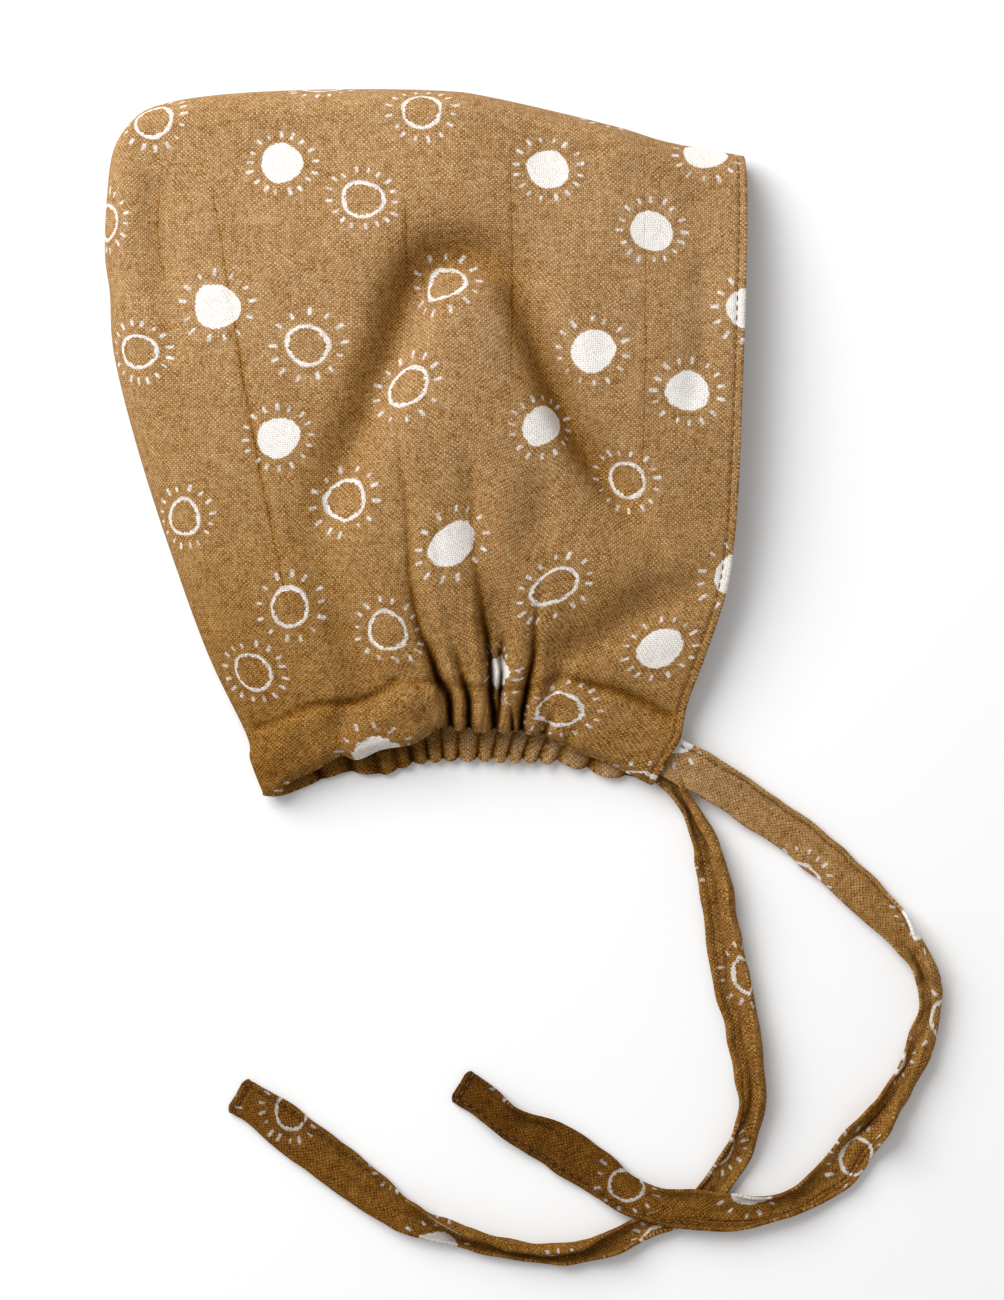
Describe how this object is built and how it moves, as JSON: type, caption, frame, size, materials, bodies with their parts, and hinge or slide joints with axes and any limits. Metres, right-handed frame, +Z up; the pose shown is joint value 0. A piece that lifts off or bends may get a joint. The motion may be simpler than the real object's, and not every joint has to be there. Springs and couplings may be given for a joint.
{
  "type": "sun bonnet",
  "caption": "Soft cotton sun bonnet for a small child, laid flat on its side, with a gathered nape and long chin ties.",
  "frame": {"origin": "on the surface under the middle of the laid bonnet, its ties left out", "axes": "+Z up from the surface, +X towards the face opening, +Y towards the top of the head"},
  "size_m": [0.2381, 0.3342, 0.0257],
  "materials": {
    "printed_muslin": "matte plain-woven cotton muslin, lined, ochre with a white print of small suns",
    "tie_muslin": "the same printed muslin, folded and topstitched into a flat tie"
  },
  "bodies": {
    "root": {"right_side_panel": "printed_muslin", "left_side_panel": "printed_muslin", "right_tie": "tie_muslin", "left_tie": "tie_muslin"}
  },
  "joints": []
}
